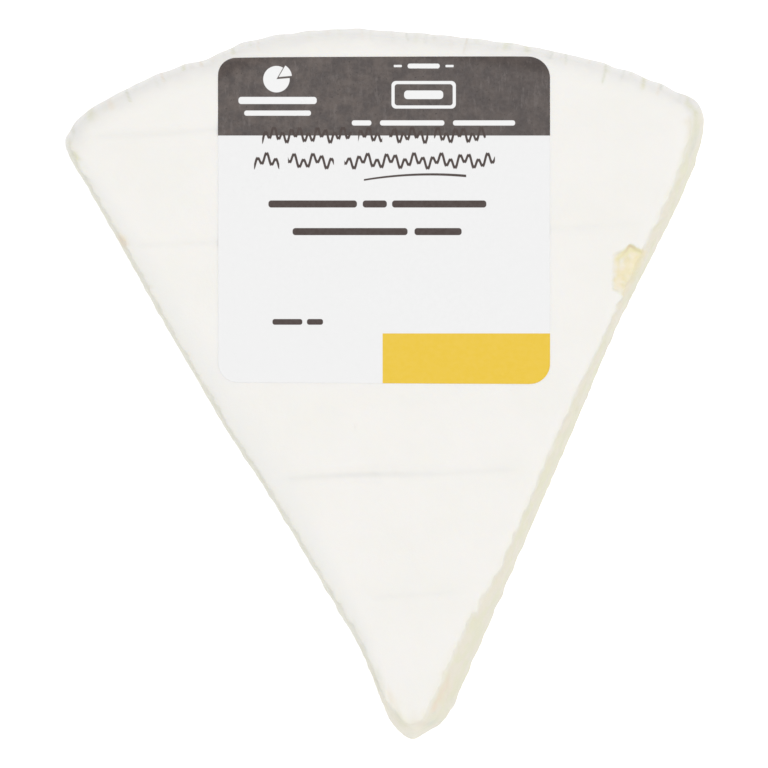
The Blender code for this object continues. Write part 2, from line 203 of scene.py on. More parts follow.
def left_reach(turn, inset):
    """The left cut: a straight line moved out by a bow, a swell, a bulge near the tip and a flare at the
    rim, and trimmed above the tip."""
    lean = np.radians(LEFT_LEAN)
    y = MIDDLE_Y + line_reach(turn, -np.cos(lean), -np.sin(lean), 0) * np.sin(turn)
    moved = LEFT_BOW * swell(y, LEFT_BOW_AT, LEFT_BOW_WIDTH) + LEFT_SWELL * swell(y, SWELL_AT, SWELL_WIDTH)
    moved = moved + TIP_BULGE * swell(y, TIP_BULGE_AT, TIP_BULGE_WIDTH)
    moved = moved + LEFT_FLARE * smooth_step(y, LEFT_FLARE_FROM, LEFT_FLARE_TO)
    moved = moved - LEFT_TRIM * (1 - smooth_step(-y, -TRIM_FROM, -TRIM_TO))
    spread = 1 + LEFT_SPREAD * smooth_step(-y, -LEFT_SPREAD_FROM, -LEFT_SPREAD_TO)
    return line_reach(turn, -np.cos(lean), -np.sin(lean), moved - inset * spread)


def right_reach(turn, inset):
    """The right cut: a straight line that flares towards the rim and is a little hollow half way."""
    lean = np.radians(RIGHT_LEAN)
    y = MIDDLE_Y + line_reach(turn, np.cos(lean), -np.sin(lean), 0) * np.sin(turn)
    moved = RIGHT_FLARE * smooth_step(y, FLARE_FROM, FLARE_TO) - RIGHT_WAIST * swell(y, WAIST_AT, WAIST_WIDTH)
    spread = 1 + RIGHT_SPREAD * smooth_step(-y, -SPREAD_FROM, -SPREAD_TO)
    spread = spread - RIGHT_PINCH * swell(y, PINCH_AT, PINCH_WIDTH)
    return line_reach(turn, np.cos(lean), -np.sin(lean), moved - inset * spread)


def rim_turn(x, y):
    """Degrees round the old rim, clockwise from +Y about the middle of the whole round."""
    return np.degrees(np.arctan2(x - RIM_X, y - RIM_Y))


def rim_reach(turn, inset):
    """The rim: a circle met by each ray, found from the quadratic of its distance, plus a hump, a hollow,
    uneven ends, small knocks and the waves of shallow flutes."""
    away_x, away_y = MIDDLE_X - RIM_X, MIDDLE_Y - RIM_Y
    half = np.cos(turn) * away_x + np.sin(turn) * away_y
    reach = -half + np.sqrt(half**2 - away_x**2 - away_y**2 + (RIM_RADIUS - inset) ** 2)
    around = rim_turn(MIDDLE_X + reach * np.cos(turn), MIDDLE_Y + reach * np.sin(turn))
    hump = RIM_HUMP * swell(around, HUMP_AT, HUMP_WIDTH) * smooth_step(around, DENT_FROM, DENT_TO)
    hollow = RIM_HOLLOW * swell(around, HOLLOW_AT, HOLLOW_WIDTH)
    lift = RIM_LIFT * smooth_step(around, LIFT_FROM, LIFT_TO)
    rise = RIGHT_RISE * smooth_step(around, RISE_FROM, RISE_TO)
    fall = LEFT_FALL * smooth_step(-around, FALL_FROM, FALL_TO)
    arc = np.radians(around) * RIM_RADIUS
    drift = FLUTE_DRIFT * np.sin(arc / (DRIFT_LENGTH * FLUTE_LENGTH))
    flutes = FLUTE_DEPTH * np.cos(2 * np.pi * arc / FLUTE_LENGTH + drift)
    knocks = sum(out * MM * swell(around, place, width) for place, width, out in RIM_KNOCKS)
    return reach + hump - hollow + lift + rise - fall + flutes + knocks


def tip_reach(turn, inset):
    """The blunt tip: a straight line square to the way that it faces, its distance over the cosine
    between the ray and that way."""
    facing = np.radians(TIP_FACING)
    ahead = np.cos(turn) * np.sin(facing) - np.sin(turn) * np.cos(facing)
    return (TIP_REACH - inset) / np.maximum(ahead, 1e-6)


def outline(turn, insets):
    """How far out the wedge reaches at each turn about its middle, each face drawn in by its inset, and
    how much each point belongs to each face. A power mean in place of the nearest face's plain minimum
    rounds the corners."""
    faces = (left_reach, right_reach, rim_reach, tip_reach)
    reaches = np.stack(np.broadcast_arrays(*[face(turn, inset) for face, inset in zip(faces, insets)]))
    degrees = np.degrees(turn) % 360
    power = np.where(degrees > LEFT_FROM, LEFT_ROUNDING, RIGHT_ROUNDING)
    power = np.where(degrees > TIP_FROM, TIP_ROUNDING, power)
    closeness = (MIDDLE_Y / reaches) ** power
    total = closeness.sum(axis=0)
    return MIDDLE_Y * total ** (-1 / power), closeness / total


def running(lengths):
    """The running sum of lengths, from 0."""
    return np.concatenate([[0], np.cumsum(lengths)])


def by_face(values, shares):
    """One value for each face, mixed by how much each point belongs to the faces."""
    return np.tensordot(values, shares, axes=1)


def station_turns():
    """Turns of the outline's stations: the running sum of each stretch's length over its own step, read
    backwards at whole numbers."""
    turn = np.linspace(0, 2 * np.pi, PACING_POINTS)
    reach, shares = outline(turn, np.zeros((4, 1)))
    step = by_face(STATION_STEP, shares)
    step = step + (CORNER_STEP - step) * np.minimum(1, CORNER_REACH * (1 - (shares**2).sum(axis=0)))
    degrees = np.degrees(turn)
    near_chip = smooth_step(degrees, CHIP_START - CHIP_EASE, CHIP_START)
    near_chip = near_chip * smooth_step(-degrees, -CHIP_END - CHIP_EASE, -CHIP_END)
    step = step + (CHIP_STEP - step) * near_chip
    lengths = np.hypot(np.diff(reach * np.cos(turn)), np.diff(reach * np.sin(turn)))
    paced = running(lengths / step[1:])
    count = round(paced[-1])
    return np.interp(np.arange(count) * paced[-1] / count, paced, turn)


def top_level(x, y):
    """Height of the top before its shoulder: flat, with slow waves, sinking towards the tip."""
    waves = np.sin(2 * np.pi * x / WAVE_LENGTH_X + WAVE_START) * np.cos(2 * np.pi * y / WAVE_LENGTH_Y)
    return HEIGHT + WAVE_DEPTH * waves - TIP_DROOP * smooth_step(-y, -DROOP_FROM, -DROOP_TO)


def ripples(u, v, length, seed, count=14):
    """An even, unpatterned unevenness, mostly between -1 and 1: plane sine waves of about one length, each
    with its own heading and phase, added up and divided by the root of their number."""
    draws = np.random.default_rng(seed)
    heading, phase = draws.uniform(0, 2 * np.pi, (2, count))
    stretch = draws.uniform(0.7, 1.5, count)
    total = 0
    for turn, start, size in zip(heading, phase, stretch):
        total = total + np.sin(2 * np.pi * (u * np.cos(turn) + v * np.sin(turn)) / (length * size) + start)
    return total / np.sqrt(count)


def at_turn(reach, turn):
    """The place at a reach and a turn from the middle: reach times cosine and sine, plus the middle."""
    return MIDDLE_X + reach * np.cos(turn), MIDDLE_Y + reach * np.sin(turn)


turns = station_turns()
girth_reach, girth_shares = outline(turns, np.zeros((4, 1)))
girth_x, girth_y = at_turn(girth_reach, turns)
rinded = girth_shares[2]  # 1 on the rim, 0 on the cuts
arc = running(np.hypot(np.diff(girth_x), np.diff(girth_y)))
flat_reach, _ = outline(turns, (TOP_INSET + SHOULDER_WIDTH)[:, None])
sole_reach, _ = outline(turns, (BOTTOM_INSET + FOOT_WIDTH)[:, None])

# The rind's cut edge wanders a little. Under it runs a crease, and below that the paste swells out; both
# fade towards the tip.
EDGE_WANDER, EDGE_WANDER_LENGTH, EDGE_WANDER_SEED = 0.12 * MM, 2.6 * MM, 3
RIND_THICKNESS = 1.1 * MM
CREASE_DEPTH, CREASE_WIDTH = 0.10 * MM, 0.45 * MM
CREEP = np.array([0.08, 0.30, 0.0, 0.40]) * MM  # on the left cut, right cut, rim and tip
CREEP_AT, CREEP_WIDTH = 2.8 * MM, 1.6 * MM
CREASE_FADE, FADE_FROM, FADE_TO = 0.75, -36 * MM, -52 * MM
cut_share = 1 - rinded
crease_share = cut_share * (1 - CREASE_FADE * smooth_step(-girth_y, -FADE_FROM, -FADE_TO))
wander = EDGE_WANDER * ripples(arc, 0 * arc, EDGE_WANDER_LENGTH, EDGE_WANDER_SEED) * cut_share

# How far inside the cut face a row reads: below 0 on the rind, and above it on the paste
RIND_READING, SHOULDER_READING = -3 * MM, -1.5 * MM
EDGE_READING, FOOT_READING = 0.3 * MM, -1.0 * MM


def wedge_rows():
    """Every row of the wedge as reach, height and how far inside the cut face it lies. The top and the
    underside are shares of the way to their flat edges, the shoulder and the foot are quarter
    ellipses, and the wall draws in above and below the girth by the square of the height from it."""
    reach, height, inside = [], [], []
    for share in TOP_SHARES:
        reach.append(share * flat_reach)
        height.append(top_level(*at_turn(reach[-1], turns)))
        inside.append(RIND_READING - (1 - share) * flat_reach)
    for turn in np.radians(SHOULDER_TURNS):
        insets = TOP_INSET[:, None] + SHOULDER_WIDTH[:, None] * (1 - np.cos(turn))
        ring, shares = outline(turns, insets - wander * np.cos(turn) ** 2)
        drop = by_face(SHOULDER_DEPTH, shares) * (1 - np.sin(turn))
        reach.append(ring)
        height.append(top_level(*at_turn(ring, turns)) - drop)
        inside.append(drop + (1 - np.cos(turn)) * SHOULDER_READING)
    ring, shares = outline(turns, TOP_INSET[:, None] - wander)
    start = top_level(*at_turn(ring, turns)) - by_face(SHOULDER_DEPTH, shares)
    foot = by_face(FOOT_DEPTH, shares)
    for share in WALL_SHARES:
        z = start + (foot - start) * share
        above = np.maximum(z - GIRTH_HEIGHT, 0) / (start - GIRTH_HEIGHT)
        below = np.maximum(GIRTH_HEIGHT - z, 0) / (GIRTH_HEIGHT - foot)
        down, up = start - z, z - foot
        crease = swell(down, RIND_THICKNESS, CREASE_WIDTH) + swell(up, RIND_THICKNESS, CREASE_WIDTH)
        creep = swell(down, CREEP_AT, CREEP_WIDTH) + swell(up, CREEP_AT, CREEP_WIDTH)
        moved = (CREASE_DEPTH * crease - by_face(CREEP, girth_shares) * creep) * crease_share
        drawn_in = TOP_INSET[:, None] * above**2 + BOTTOM_INSET[:, None] * below**2
        reach.append(outline(turns, drawn_in + moved - wander * above**4)[0])
        height.append(z)
        inside.append(np.minimum(down, up) + EDGE_READING)
    for turn in np.radians(FOOT_TURNS):
        ring, shares = outline(turns, BOTTOM_INSET[:, None] + FOOT_WIDTH[:, None] * (1 - np.cos(turn)))
        reach.append(ring)
        height.append(by_face(FOOT_DEPTH, shares) * (1 - np.sin(turn)))
        inside.append(EDGE_READING + (1 - np.cos(turn)) * FOOT_READING + 0 * ring)
    for share in UNDER_SHARES:
        reach.append(share * sole_reach)
        height.append(0 * sole_reach)
        inside.append(RIND_READING - (1 - share) * sole_reach)
    return np.array(reach), np.array(height), np.array(inside)


reach, z, inside = wedge_rows()
x, y = at_turn(reach, turns)
top_rows = len(TOP_SHARES) + len(SHOULDER_TURNS)
inward = girth_reach - reach  # seen from above, how far in from the widest outline
upper = np.where(np.arange(len(reach)) < top_rows, 1.0, 0.0)[:, None]


def outward(x, y, z):
    """Unit normals of a grid of points: the cross product of the steps down a column and round a row."""
    grid = np.stack([x, y, z], axis=-1)
    down = np.gradient(grid, axis=0)
    round_row = np.roll(grid, -1, axis=1) - np.roll(grid, 1, axis=1)
    normal = np.cross(down, round_row)
    return normal / np.maximum(np.linalg.norm(normal, axis=-1, keepdims=True), 1e-12)


# Marks pressed into the top by the bars of a drying rack: middle, half length, and how strongly
BAR_MARKS = (
    (-27.5 * MM, 44.3 * MM, 25 * MM, 0.62),
    (0.0, 25.8 * MM, 46 * MM, 0.45),
    (2.3 * MM, -15.7 * MM, 22 * MM, 1.0),
    (5.5 * MM, -36.9 * MM, 9 * MM, 0.5),
)
BAR_DEPTH = 0.45 * MM
BAR_SLOPE = 2.7  # degrees
BAR_WIDTH = 0.9 * MM
BAR_FADE = 4 * MM  # each mark fades out over this much at both ends
BAR_WANDER, BAR_WANDER_LENGTH = 0.25 * MM, 7 * MM
BAR_FORCE, BAR_FALL_OFF = 0.8, 0.28  # at a mark's middle, and less by so much at its right end
BAR_PATCHES, BAR_PATCH_LENGTH = 0.15, 4.3 * MM
NOWHERE = 99 * MM  # farther than any place on the wedge


def bar_marks(x, y):
    """Signed distance across the nearest mark, and how strongly it is pressed at that place along it:
    an S-shaped fade at both ends, times a force that falls along it and varies as a sine."""
    slope = np.radians(BAR_SLOPE)
    nearest, pressed = np.full(x.shape, NOWHERE), np.zeros(x.shape)
    for mark_x, mark_y, half, force in BAR_MARKS:
        along = (x - mark_x) * np.cos(slope) + (y - mark_y) * np.sin(slope)
        across = (y - mark_y) * np.cos(slope) - (x - mark_x) * np.sin(slope)
        across = across - BAR_WANDER * np.sin(along / BAR_WANDER_LENGTH + mark_y / MM)
        ends = smooth_step(half - np.abs(along), 0, BAR_FADE)
        patches = BAR_PATCHES * np.sin(along / BAR_PATCH_LENGTH + mark_x / MM)
        uneven = BAR_FORCE - BAR_FALL_OFF * along / half + patches
        closer = np.abs(across) < np.abs(nearest)
        nearest = np.where(closer, across, nearest)
        pressed = np.where(closer, force * ends * uneven, pressed)
    return nearest, pressed


# Folds and stains in the rind round the rim's upper edge: degrees round the rim, how far in from the
# outline each one runs and half its width in millimetres, how dark it is, and its tint: olive 0, grey
# 0.5, tan 1
RIM_FOLDS = (
    (-29.9, 1.6, 0.5, 0.6, 0.3),
    (-27.9, 2.9, 0.95, 0.62, 0.03),
    (-25.9, 3.2, 0.6, 0.42, 1),
    (-24.2, 3.3, 0.22, 0.85, 0.25),
    (-20.8, 2.7, 0.22, 0.6, 0.85),
    (-18.7, 1.7, 0.4, 0.8, 0.1),
    (-17.2, 1.8, 0.28, 0.7, 0.8),
    (-14.2, 1.9, 0.34, 0.75, 0.2),
    (-12.5, 1.5, 0.22, 0.6, 0.3),
    (1.2, 2.2, 0.2, 0.55, 0.35),
    (2.95, 2.4, 0.2, 0.55, 0.35),
    (6.6, 3.6, 0.2, 0.6, 0.7),
    (10.1, 2.2, 0.5, 0.75, 0),
    (11.8, 2, 0.55, 0.7, 0.05),
    (14.2, 2.4, 0.24, 0.6, 0.4),
    (15.35, 2.8, 0.24, 0.6, 0.3),
    (18.95, 4.6, 0.24, 0.85, 0.3),
    (22.5, 3.2, 0.4, 0.85, 0),
    (24.2, 1.8, 0.26, 0.7, 0.3),
    (26.7, 2, 0.3, 0.6, 0.2),
)
FOLD_DEPTH, FOLD_WIDTH, FOLD_START = 0.10 * MM, 0.4 * MM, 0.8 * MM
FOLD_LEAN, LEAN_DRIFT = 0.12, 1.7
FAINT_FOLDS, FAINT_SEED = 34, 57
draws = np.random.default_rng(FAINT_SEED)
faint = [
    np.linspace(-28, 27, FAINT_FOLDS) + draws.uniform(-0.7, 0.7, FAINT_FOLDS),
    draws.uniform(1.2, 3.6, FAINT_FOLDS),
    draws.uniform(0.18, 0.5, FAINT_FOLDS),
    draws.uniform(0.12, 0.36, FAINT_FOLDS),
    draws.uniform(0.0, 0.9, FAINT_FOLDS),
]
RIM_FOLDS = np.concatenate([RIM_FOLDS, np.transpose(faint)])

# Stains elsewhere along the edges, each a stretch from one place to another in millimetres, half its
# width, how dark it is, and its tint: the two rim corners, the nick, rust along the tip, and a speck
EDGE_STAINS = (
    (-55.2, 42.4, -54.3, 40, 0.65, 0.42, 0.03),
    (-53.9, 39.9, -53.4, 39.2, 0.45, 0.85, 0),
    (53, 49, 54.5, 47.3, 0.55, 0.75, 0.05),
    (54.5, 47.3, 54.7, 44, 0.55, 0.8, 0.1),
    (54.7, 44, 53.4, 40, 0.6, 0.6, 0.35),
    (-46, 25.4, -45.2, 24.6, 0.7, 0.8, 1),
    (11.3, -51, 8.7, -56.9, 0.42, 0.85, 1),
    (11.2, -52.8, 10.6, -55, 1, 0.38, 0.9),
    (9.6, -57.6, 8.2, -59.6, 0.8, 0.2, 0.15),
    (5.4, -58.9, 8.4, -59.3, 0.7, 0.5, 0.75),
    (2.3, -57.4, 3.4, -59.4, 0.55, 0.5, 0.15),
    (0.7, -53.2, 1.7, -55.3, 0.5, 0.25, 1),
    (-1.2, -50.3, -0.6, -53, 0.6, 0.55, 0.4),
    (-5.1, -7.4, -4.9, -7.4, 0.25, 0.35, 0.7),
)


def segment_distance(x, y, start, end):
    """Distance to a straight stretch: to its nearest point, found by the clipped share of the way along."""
    run_x, run_y = end[0] - start[0], end[1] - start[1]
    share = np.clip(((x - start[0]) * run_x + (y - start[1]) * run_y) / (run_x**2 + run_y**2), 0, 1)
    return np.hypot(x - start[0] - share * run_x, y - start[1] - share * run_y)


def stains(x, y, inward):
    """How stained each point is, its mean tint, and how far the folds sink in. Each stain is darkest on
    its line and fades as a bell curve, and several together darken as layers of glass would. The folds
    run square to the rim from the outline inwards."""
    around = np.radians(rim_turn(x, y)) * RIM_RADIUS
    clear, tinted, total = np.ones(x.shape), np.zeros(x.shape), np.full(x.shape, 1e-6)
    fold = np.zeros(x.shape)
    for place, length, half, dark, tint in RIM_FOLDS:
        lean = FOLD_LEAN * np.sin(place * LEAN_DRIFT)
        across = around - np.radians(place) * RIM_RADIUS - lean * inward
        beyond = np.maximum(inward - (length - half) * MM, 0)
        share = dark * swell(np.hypot(across, beyond), 0, half * MM)
        clear, tinted, total = clear * (1 - share), tinted + share * tint, total + share
        fold = fold + dark * swell(np.hypot(across, beyond), 0, FOLD_WIDTH)
    for start_x, start_y, end_x, end_y, half, dark, tint in EDGE_STAINS:
        away = segment_distance(x / MM, y / MM, (start_x, start_y), (end_x, end_y))
        share = dark * swell(away, 0, half)
        clear, tinted, total = clear * (1 - share), tinted + share * tint, total + share
    return 1 - clear, tinted / total, fold


# The chip torn out of the rind's edge on the right, the crack along its upper side with a smear below
# it, and a nick on the left, seen from above
CHIP_CORNERS = MM * np.array(
    [(39.5, 22.7), (39.5, 16.2), (43, 14.8), (52, 17), (45.6, 23.1), (42.7, 24.6), (41.5, 23.5)]
)
CHIP_DEPTHS = np.array([0.18, 0.35, 0.8, 2.3, 1.0, 0.55, 0.3]) * MM
CHIP_LIP = 0.75 * MM
CHIP_LUMP, CHIP_LUMP_LENGTH, CHIP_SEED = 0.12 * MM, 1.6 * MM, 11
CORNER_SOFTNESS = 0.4 * MM
CRACK_POINTS = np.array([(40.6, 21.65), (42.15, 23.08), (42.6, 24.2), (44.6, 22.95)]) * MM
CRACK_FADE = 0.09  # how fast the crack pales away from its third point
SMEAR_START, SMEAR_END, SMEAR_SOFTNESS = (40.7 * MM, 21.4 * MM), (41.0 * MM, 18.4 * MM), 0.3 * MM
NICK_X, NICK_Y, NICK_RADIUS, NICK_DEPTH, NICK_LIP = -45.7 * MM, 25.1 * MM, 1.0 * MM, 0.6 * MM, 0.7 * MM


def chip_depth(x, y):
    """Depth of the chip: none outside its corners, a steep lip, then a floor between the depths at the
    corners, each weighed by the inverse square of its distance, with small lumps."""
    crossings = np.zeros(x.shape, int)
    edge = np.full(x.shape, NOWHERE)
    for start, end in zip(CHIP_CORNERS, np.roll(CHIP_CORNERS, -1, axis=0)):
        edge = np.minimum(edge, segment_distance(x, y, start, end))
        straddles = (start[1] > y) != (end[1] > y)
        met = start[0] + (y - start[1]) / (end[1] - start[1]) * (end[0] - start[0])
        crossings += straddles & (x < met)
    weight = np.stack([1 / (np.hypot(x - a, y - b) + CORNER_SOFTNESS) ** 2 for a, b in CHIP_CORNERS])
    floor_depth = np.tensordot(CHIP_DEPTHS, weight, axes=1) / weight.sum(axis=0)
    lumps = CHIP_LUMP * ripples(x, y, CHIP_LUMP_LENGTH, CHIP_SEED)
    return (crossings % 2) * smooth_step(edge, 0, CHIP_LIP) * (floor_depth + lumps)


# Distance to the crack, which carries its olive tint and a painted shadow along it
crack = np.min([segment_distance(x, y, a, b) for a, b in zip(CRACK_POINTS[:-1], CRACK_POINTS[1:])], axis=0)
crack = np.minimum(crack, segment_distance(x, y, SMEAR_START, SMEAR_END) + SMEAR_SOFTNESS)
crack = crack + CRACK_FADE * np.hypot(x - CRACK_POINTS[2][0], y - CRACK_POINTS[2][1])

# Low relief, each kind as height, length, stretch of its second way and seed: the rind's top, the paste
# of the cut faces and the rim
TOP_RELIEF = ((0.02 * MM, 6 * MM, 1, 21), (0.006 * MM, 2.4 * MM, 1, 22))
PASTE_RELIEF = ((0.10 * MM, 4.0 * MM, 1.4, 31), (0.05 * MM, 1.9 * MM, 1, 32))
RIM_RELIEF = ((0.07 * MM, 4.2 * MM, 0.6, 33),)
PASTE_FROM, PASTE_TO = -0.2 * MM, 0.4 * MM  # inside the cut face, where its relief starts
SOLE_HEIGHT = 0.2 * MM  # lower than this, nothing is moved
DUG_READING = 1.4  # how fast the paste shows with depth
STAIN_FROM, STAIN_TO = 16 * MM, 25 * MM  # stains fade down the rim's wall between these heights
CUT_STAIN_FROM, CUT_STAIN_TO = 20 * MM, 28 * MM  # and down the cut faces between these


def relief(u, v, kinds):
    """The sum of several ripples, each times its height."""
    return sum(height * ripples(u, stretch * v, length, seed) for height, length, stretch, seed in kinds)


stained, stain_tint, folds = stains(x, y, inward)
on_rim = rinded * np.ones_like(x)
fade_start = STAIN_FROM + (CUT_STAIN_FROM - STAIN_FROM) * cut_share
fade_end = STAIN_TO + (CUT_STAIN_TO - STAIN_TO) * cut_share
upper_side = smooth_step(z, fade_start, fade_end)
on_paste = smooth_step(inside, PASTE_FROM, PASTE_TO) * cut_share
across_bar, pressed = bar_marks(x, y)
pressed = pressed * upper
sunk = BAR_DEPTH * pressed * swell(across_bar, 0, BAR_WIDTH)
sunk = sunk + FOLD_DEPTH * folds * on_rim * smooth_step(inward, 0, FOLD_START)
arcs = arc * np.ones_like(z)
raised = relief(x, y, TOP_RELIEF) * upper + relief(arcs, z, PASTE_RELIEF) * on_paste
raised = raised + relief(arcs, z, RIM_RELIEF) * on_rim * (1 - upper)
normal = outward(x, y, z)
moved = np.where(z < SOLE_HEIGHT, 0, raised - sunk)
x, y, z = x + normal[..., 0] * moved, y + normal[..., 1] * moved, z + normal[..., 2] * moved
nick = NICK_DEPTH * smooth_step(NICK_RADIUS - np.hypot(x - NICK_X, y - NICK_Y), 0, NICK_LIP)
pit = np.maximum(chip_depth(x, y), nick)
z = np.where(pit > 0, np.minimum(z, top_level(x, y) - pit), z)
dug = np.where(pit > 0, np.maximum(top_level(x, y) - z, 0), 0)
inside = np.maximum(inside, EDGE_READING + dug * DUG_READING + RIND_READING * (dug <= 0))

# Past the rim's corners the paste starts: slowly on the left, a little round the corner on the right
RIGHT_WRAP, LEFT_RATE = 1.5 * MM, 0.5
is_cut = cut_share > 0.5
corner_arcs = arc[np.flatnonzero(is_cut[:-1] != is_cut[1:])]
corner_away = np.min(np.abs(arc[:, None] - corner_arcs[None]), axis=1) * np.where(is_cut, 1, -1)
corner_away = np.where(girth_x > 0, corner_away + RIGHT_WRAP, corner_away * LEFT_RATE)
inside = np.minimum(inside, corner_away)


def ring_faces(rows, stations):
    """Quads between a grid's rows, closed round each row, and fans at the two poles, which are the last
    two points."""
    first = np.arange(rows * stations).reshape(rows, stations)
    after = np.roll(first, -1, axis=1)
    quads = np.stack([first[:-1], first[1:], after[1:], after[:-1]], axis=-1).reshape(-1, 4)
    top, bottom = rows * stations, rows * stations + 1
    upper_fan = np.stack([np.full(stations, top), first[0], after[0]], axis=-1)
    lower_fan = np.stack([first[-1], np.full(stations, bottom), after[-1]], axis=-1)
    return quads.tolist() + upper_fan.tolist() + lower_fan.tolist()


def with_poles(grid, top, bottom):
    """A grid's values as one long list, with one value more for each pole."""
    return np.concatenate([grid.reshape(-1), [top, bottom]])


def closed_points(x, y, z, poles):
    """A grid's points as one list, with the two poles at its end."""
    return np.column_stack([with_poles(grid, *pair) for grid, pair in zip((x, y, z), np.transpose(poles))])


poles = [(MIDDLE_X, MIDDLE_Y, top_level(MIDDLE_X, MIDDLE_Y)), (MIDDLE_X, MIDDLE_Y, 0)]
cheese = sheet_object("cheese", closed_points(x, y, z, poles), ring_faces(*x.shape))

# What each point tells the material, in millimetres or as a share, and the same at the poles
readings = {
    "inside": (inside / MM, -30),
    "inward": (inward / MM, 30),
    "stained": (stained * upper_side, 0),
    "stain_tint": (stain_tint, 0),
    "across_bar": (across_bar / MM, 9),
    "pressed": (pressed, 0),
    "rinded": (on_rim, 0),
    "crack": (crack / MM, 30),
    "dug": (dug / MM, 0),
}
for name, (grid, at_poles) in readings.items():
    values = with_poles(grid, at_poles, at_poles).astype(np.float32)
    cheese.data.attributes.new(name, "FLOAT", "POINT").data.foreach_set("value", values)


# Its finish: a matt white bloom of mould over the rind, cream paste, olive tints in the cracks, a painted
# brown shadow along the chip's crack, and painted shade and light near the edges
class Recipe:
    """A material's nodes, put together from the shader backwards."""

    def __init__(self, name):
        """A new material with one shader, which the rest is fed to."""
        self.material = bpy.data.materials.new(name)
        self.material.use_nodes = True
        self.tree = self.material.node_tree
        self.shader = self.tree.nodes["Principled BSDF"]

    def feed(self, socket, value):
        """Links an output to a socket, or sets a plain number or colour on it."""
        if isinstance(value, bpy.types.NodeSocket):
            self.tree.links.new(value, socket)
        elif value is not None:
            socket.default_value = value

    def add(self, kind, inputs=(), output=0, **settings):
        """A node with its settings and its inputs by place or name, and one of its outputs."""
        node = self.tree.nodes.new(kind)
        for name, value in settings.items():
            setattr(node, name, value)
        for name, value in dict(inputs).items():
            self.feed(node.inputs[name], value)
        return node.outputs[output]

    def surface(self, bumps, strength, distance, **settings):
        """Plain numbers on the shader's sockets, and a bump from a pattern."""
        for name, value in settings.items():
            self.shader.inputs[name.replace("_", " ")].default_value = value
        bump = self.add("ShaderNodeBump", {"Height": bumps, "Strength": strength, "Distance": distance})
        self.feed(self.shader.inputs["Normal"], bump)

    def math(self, operation, *values, clamp=False):
        """One sum on numbers or outputs."""
        return self.add("ShaderNodeMath", dict(enumerate(values)), operation=operation, use_clamp=clamp)

    def times(self, first, second):
        """The product of two shares."""
        return self.math("MULTIPLY", first, second)

    def reading(self, name):
        """A number that each point was given."""
        return self.add("ShaderNodeAttribute", output="Fac", attribute_name=name)

    def place(self, scale=(1, 1, 1)):
        """Object coordinates in millimetres, each times its own scale."""
        spot = self.add("ShaderNodeTexCoord", output="Object")
        size = tuple(1000 * value for value in scale)
        return self.add("ShaderNodeMapping", {"Vector": spot, "Scale": size})

    def apart(self, vector):
        """The three numbers of a vector."""
        node = self.tree.nodes.new("ShaderNodeSeparateXYZ")
        self.feed(node.inputs[0], vector)
        return tuple(node.outputs)

    def noise(self, vector, scale, detail=3.0, roughness=0.55):
        """A clouded pattern around 0.5, of so many clouds a millimetre, with finer layers over it."""
        settings = {"Vector": vector, "Scale": scale, "Detail": detail, "Roughness": roughness}
        return self.add("ShaderNodeTexNoise", settings, output="Fac")

    def ramp(self, value, start, end, low=0.0, high=1.0):
        """Low up to start, high from end, with an S-shaped run between."""
        inputs = {"Value": value, "From Min": start, "From Max": end, "To Min": low, "To Max": high}
        return self.add("ShaderNodeMapRange", inputs, interpolation_type="SMOOTHSTEP")

    def mix(self, share, first, second):
        """One colour blended into another by a share."""
        node = self.tree.nodes.new("ShaderNodeMix")
        node.data_type = "RGBA"
        for number, value in ((0, share), (6, first), (7, second)):
            self.feed(node.inputs[number], value)
        return node.outputs[2]


RIND_WHITE = (0.812, 0.797, 0.768, 1)
RIND_SHADE = (0.800, 0.788, 0.752, 1)
RIND_TAN = (0.765, 0.725, 0.655, 1)
# painted shade for the grooves of the rack marks
RIND_GROOVE_SHADE = (0.764, 0.755, 0.726, 1)
PASTE_OLIVE = (0.735, 0.715, 0.565, 1)
PASTE_TAN = (0.755, 0.715, 0.610, 1)
PASTE_GREY = (0.745, 0.740, 0.655, 1)
PASTE_PALE = (0.815, 0.780, 0.680, 1)
STAIN_OLIVE = (0.70, 0.69, 0.54, 1)
STAIN_GREY = (0.64, 0.655, 0.61, 1)
STAIN_TAN = (0.76, 0.66, 0.54, 1)
# grey for patches along the rim, and painted shade towards the outline where the shoulder turns away
RIM_GREY_PATCH_AND_SHADE = (0.780, 0.770, 0.748, 1)
# painted light for the rim's outermost edge
RIM_PAINTED_LIGHT = (0.862, 0.852, 0.830, 1)
# painted shade for the rolled left edge of the top
EDGE_PAINTED_SHADE = (0.770, 0.766, 0.744, 1)
CHIP_CREAM, CHIP_YELLOW = (0.784, 0.700, 0.515, 1), (0.764, 0.680, 0.420, 1)
# olive for the crack's tint, and a painted shadow along the crack
CRACK_OLIVE, CRACK_PAINTED_SHADOW = (0.745, 0.695, 0.44, 1), (0.70, 0.59, 0.44, 1)

# Where each finish starts and where it is full. In millimetres inside the cut face:
PASTE_RUN, RAGGED = (-0.6, 1.8), 1.3
# in from the widest outline:
RIM_SHADE_RUN, PATCH_RUN, PAINTED_LIGHT_RUN, LEFT_SHADE_RUN = (3.8, 1.2), (6.0, 2.2), (2.6, 0.3), (8.0, 2.2)
CHIP_EDGE_RUN = (0.7, 3.9)
# below the old top, and away from a rack mark's middle and from the crack:
CHIP_RUN, CRACK_RUN, BAR_SHADE_RUN = (0.15, 0.5), (0.0, 0.25), (0.95, 0.0)
CRACK_HALO_RUN, CRACK_SHADOW_RUN = (1.1, 0.2), (0.36, 0.05)
# along x, along y and up:
GREY_SIDE_RUN, LEFT_SIDE_RUN, PAINTED_LIGHT_END_RUN = (2.0, -6.0), (3.0, -3.0), (53.5, 51.0)
PALE_LEFT_Y, PALE_LEFT_X, PALE_END_Y, PALE_END_X = (-50.0, -56.0), (6.5, 3.5), (-57.0, -60.5), (8.5, 5.5)
LOW_WALL_RUN = (29.0, 22.0)

rind = Recipe("rind and paste")
spot = rind.place()
spot_x, spot_y, spot_z = rind.apart(spot)
in_from_edge, rinded_share, dug_in = rind.reading("inward"), rind.reading("rinded"), rind.reading("dug")
